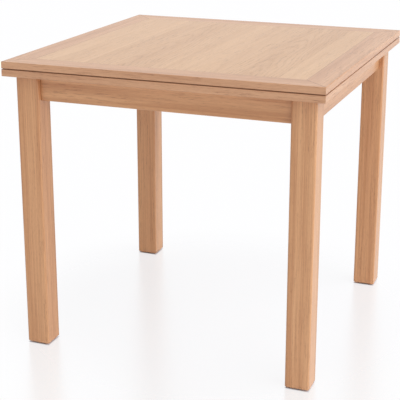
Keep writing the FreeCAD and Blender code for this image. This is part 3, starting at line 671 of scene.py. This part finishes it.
def nut_rings(length, radius):
    """Hexagonal nut with chamfered corners and a countersunk bore."""
    bore = NUT_BORE * radius
    mouth = 1.15 * bore
    edge = 0.12 * length
    cut_back, full = hexagon(radius)
    outside = [(cut_back, 0.0), (full, edge), (full, length - edge), (cut_back, length)]
    return rounds((bore, edge), (mouth, 0.0)) + outside + rounds((mouth, length), (bore, length - edge))


def lock_nut_rings(length, radius):
    """Hexagonal nut above a round collar that grips the thread."""
    bore = LOCK_NUT_BORE * radius
    mouth = 1.1 * bore
    collar = 0.75 * radius
    shoulder = 0.25 * length
    edge = 0.08 * length
    cut_back, full = hexagon(radius)
    lower = rounds((bore, edge), (collar - edge, 0.0), (collar, edge), (collar, shoulder))
    outside = [(cut_back, shoulder), (full, shoulder + edge), (full, length - edge), (cut_back, length)]
    return lower + outside + rounds((mouth, length), (bore, length - edge))


def stud_rings(length, radius):
    """Stud with a chamfered lower end and a machine thread on its lower half."""
    middle = 0.5 * length
    chamfer = (1.0 - END_SHARE) * radius
    thread = threads(radius, chamfer, middle, STUD_PITCH, MACHINE_THREAD_SHARE)
    return rounds((END_SHARE * radius, 0.0)) + thread + rounds((radius, middle), (radius, length))


def bolt_rings(length, radius):
    """Hanger bolt with a machine thread at its near end and a wood thread at its point."""
    middle = 0.45 * length
    chamfer = (1.0 - END_SHARE) * radius
    shank = radius * SCREW_SHARE
    shank_end = middle + 2 * radius
    rings = rounds((END_SHARE * radius, 0.0)) + threads(radius * BOLT_SHARE, chamfer, middle, BOLT_PITCH)
    rings += rounds((shank, middle), (shank, shank_end))
    rings += threads(shank, shank_end, length - 2 * radius, THREAD_PITCH)
    return rings + rounds((POINT_SHARE * radius, length))


def glide_rings(length, radius):
    """Nylon glide with a soft lower rim and a barbed stem."""
    pad = scaled(GLIDE_RIM, radius, GLIDE_PAD) + rounds((GLIDE_STEM, GLIDE_PAD))
    barbs = threads(GLIDE_STEM, 2 * GLIDE_PAD, length - GLIDE_PAD, GLIDE_PAD)
    return pad + barbs + rounds((GLIDE_STEM_END * GLIDE_STEM, length))


def bumper_rings(length, radius):
    """Low dome."""
    return scaled(BUMPER_DOME, radius, length)


def peg_rings(length, radius):
    """Dowel with a small chamfer at both ends."""
    narrow = radius - PEG_CHAMFER
    return rounds((narrow, 0.0), (radius, PEG_CHAMFER), (radius, length - PEG_CHAMFER), (narrow, length))


def solids_in(node_object):
    """The corner points of each separate solid in a node."""
    mesh = bmesh.new()
    mesh.from_mesh(node_object.data)
    bmesh.ops.remove_doubles(mesh, verts=mesh.verts, dist=SAME_PLACE)
    solids = []
    found = set()
    for first in mesh.verts:
        if first in found:
            continue
        found.add(first)
        # The list grows while it is walked, until no linked corner is left
        solid = [first]
        for vertex in solid:
            linked = [edge.other_vert(vertex) for edge in vertex.link_edges]
            fresh = [other for other in linked if other not in found]
            found.update(fresh)
            solid.extend(fresh)
        solids.append([vertex.co.copy() for vertex in solid])
    mesh.free()
    return solids


def middle_of(points):
    """Centre of the box around some points."""
    places = [[point[axis] for point in points] for axis in range(3)]
    return Vector([(min(place) + max(place)) / 2 for place in places])


def from_head(points):
    """Direction of a screw along X, Y or Z, from its head to its point."""
    places = [[point[axis] for point in points] for axis in range(3)]
    sizes = [max(place) - min(place) for place in places]
    axis = sizes.index(max(sizes))
    middle = middle_of(points)
    direction = Vector((0.0, 0.0, 0.0))
    direction[axis] = 1.0
    widest = max(points, key=lambda point: (point - middle).cross(direction).length)
    return direction if widest[axis] < middle[axis] else -direction


def outward(points):
    """Direction from the table's middle out along a corner's diagonal."""
    middle = middle_of(points)
    return Vector((math.copysign(1.0, middle.x), math.copysign(1.0, middle.y), 0.0)).normalized()


def upward(points):
    """Straight up, whatever the points."""
    return Vector((0.0, 0.0, 1.0))


def add_solid(mesh, rings, bored, place):
    """Add one solid through its rings; in a bored one, the last ring is joined to the first."""
    loops = []
    for radii, height in rings:
        loop = []
        for radius, degrees in zip(radii, RING_ANGLES):
            angle = math.radians(degrees)
            point = Vector((radius * math.cos(angle), radius * math.sin(angle), height))
            loop.append(mesh.verts.new(place @ point))
        loops.append(loop)
    pairs = list(zip(loops, loops[1:]))
    if bored:
        pairs.append((loops[-1], loops[0]))
    else:
        mesh.faces.new(reversed(loops[0]))
        mesh.faces.new(loops[-1])
    for lower, upper in pairs:
        for side in range(RING_SIDES):
            after = (side + 1) % RING_SIDES
            mesh.faces.new((lower[side], lower[after], upper[after], upper[side]))


def refine(name, direction_of, rings_of, bored=False, **shares):
    """Stand round, detailed pieces in the place of a node's solids."""
    mesh = bmesh.new()
    for points in solids_in(nodes[name]):
        direction = direction_of(points)
        middle = middle_of(points)
        reach = [(point - middle).dot(direction) for point in points]
        radius = max((point - middle).cross(direction).length for point in points)
        turn = direction.to_track_quat("Z", "Y").to_matrix().to_4x4()
        place = Matrix.Translation(middle + direction * min(reach)) @ turn
        add_solid(mesh, rings_of(max(reach) - min(reach), radius, **shares), bored, place)
    bmesh.ops.recalc_face_normals(mesh, faces=mesh.faces)
    data = bpy.data.meshes.new(name + "_round")
    mesh.to_mesh(data)
    mesh.free()
    data.shade_smooth()
    data.set_sharp_from_angle(angle=SHARP_ANGLE)
    data.materials.append(FINISHES[finish_of(name)])
    piece = bpy.data.objects.new(name + "_round", data)
    bpy.context.scene.collection.objects.link(piece)
    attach(piece, body_of(nodes[name])[0])
    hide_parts(name)


for screw_group in ("corner_block", "cleat", "rail", "pivot_plate", "hinge_lower", "hinge_upper"):
    refine(screw_group + "_screws", from_head, screw_rings)
refine("hanger_bolts", outward, bolt_rings)
refine("hanger_nuts", outward, nut_rings, bored=True)
refine("hanger_washers", outward, washer_rings, bored=True, hole=BOLT_HOLE)
refine("pivot_washer", upward, washer_rings, bored=True, hole=STUD_HOLE)
refine("pivot_slip_washer", upward, washer_rings, bored=True, hole=STUD_HOLE)
refine("pivot_lock_nut", upward, lock_nut_rings, bored=True)
refine("pivot_stud", upward, stud_rings)
refine("foot_glides", upward, glide_rings)
refine("leaf_bumpers", upward, bumper_rings)
refine("stop_peg", upward, peg_rings)


# Floor, light and camera

FLOOR_SIDE = 60.0
FLOOR_DROP = 0.0005
FLOOR_COLOUR = colour(240, 243, 253)
FLOOR_ROUGHNESS = 0.6
FLOOR_GLOSS = 0.16
GLOSS_ROUGHNESS = 0.25

# White that the floor shows: its colour, its share under the table, the distances from the middle over
# which that share grows to the whole, and the distances from a foot's middle over which it comes in
GLOW_COLOUR = colour(254, 254, 255)
FLOOR_GLOW = 0.87
GLOW_REACH = (0.35, 0.70)
FOOT_EDGE = (0.90 * LEG_HALF, 1.05 * LEG_HALF)

SKY_LEVEL = 0.45


def floor_glow(shader):
    """Share of plain white in the floor: all of it far away, none of it under the feet."""
    place = shader.parts(shader.place())
    reach = shader.node("ShaderNodeVectorMath", {0: shader.place()}, operation="LENGTH").outputs["Value"]
    from_foot = [shader.apart(shader.math("ABSOLUTE", place[axis]), LEG_CENTRE) for axis in ("X", "Y")]
    open_floor = shader.ramp(shader.math("MAXIMUM", *from_foot), *FOOT_EDGE)
    return shader.math("MULTIPLY", shader.ramp(reach, *GLOW_REACH, FLOOR_GLOW, 1.0), open_floor)


def add_floor():
    """Pale glossy floor that shows nearly white and keeps the table's shadow and reflection."""
    bpy.ops.mesh.primitive_plane_add(size=FLOOR_SIDE, location=(0.0, 0.0, -FLOOR_DROP))
    floor = bpy.context.object
    floor.name = "floor"
    shader = Shader("floor")
    shader.set(Base_Color=FLOOR_COLOUR, Roughness=FLOOR_ROUGHNESS, Specular_IOR_Level=0.0)
    white = shader.node("ShaderNodeEmission", {"Color": GLOW_COLOUR, "Strength": 1.0})
    gloss = shader.node("ShaderNodeBsdfAnisotropic", {"Color": WHITE, "Roughness": GLOSS_ROUGHNESS})
    glow = shader.math("MULTIPLY", shader.seen(), floor_glow(shader))
    glossy = shader.blend(FLOOR_GLOSS, shader.blend(glow, shader.surface, white), gloss)
    shader.put(shader.tree.nodes["Material Output"].inputs["Surface"], glossy.outputs[0])
    floor.data.materials.append(shader.material)


def add_sun(name, strength, spread, direction):
    """Soft light from far away, even all over the floor; spread is in degrees."""
    lamp = bpy.data.lights.new(name, "SUN")
    lamp.energy = strength
    lamp.angle = math.radians(spread)
    holder = bpy.data.objects.new(name, lamp)
    holder.rotation_euler = Vector(direction).to_track_quat("Z", "Y").to_euler()
    bpy.context.scene.collection.objects.link(holder)


def add_world():
    """Even pale surroundings that show white."""
    world = bpy.data.worlds.new("studio")
    bpy.context.scene.world = world
    world.use_nodes = True
    sky = NodeTree(world.node_tree)
    background = sky.tree.nodes["Background"]
    sky.put(background.inputs["Color"], WHITE)
    sky.put(background.inputs["Strength"], sky.ramp(sky.seen(), 0.0, 1.0, SKY_LEVEL, 1.0))


def add_camera():
    """The photograph's viewpoint."""
    lens = bpy.data.cameras.new("camera")
    lens.sensor_fit = "HORIZONTAL"
    lens.sensor_width = SENSOR
    lens.lens = FOCAL_PIXELS * SENSOR / IMAGE_SIDE
    lens.shift_y = CAMERA_SHIFT
    lens.clip_end = CAMERA_REACH
    camera = bpy.data.objects.new("camera", lens)
    camera.location = CAMERA_PLACE
    camera.rotation_euler = (math.radians(90.0 - CAMERA_DROP), 0.0, math.radians(CAMERA_TURN))
    bpy.context.scene.collection.objects.link(camera)
    bpy.context.scene.camera = camera


bpy.context.scene.view_settings.view_transform = "Standard"
add_floor()
add_world()
add_sun("key", strength=2.00, spread=68.0, direction=(0.66, -0.10, 0.74))
add_sun("fill", strength=0.42, spread=50.0, direction=(0.80, -0.80, 0.15))
add_camera()
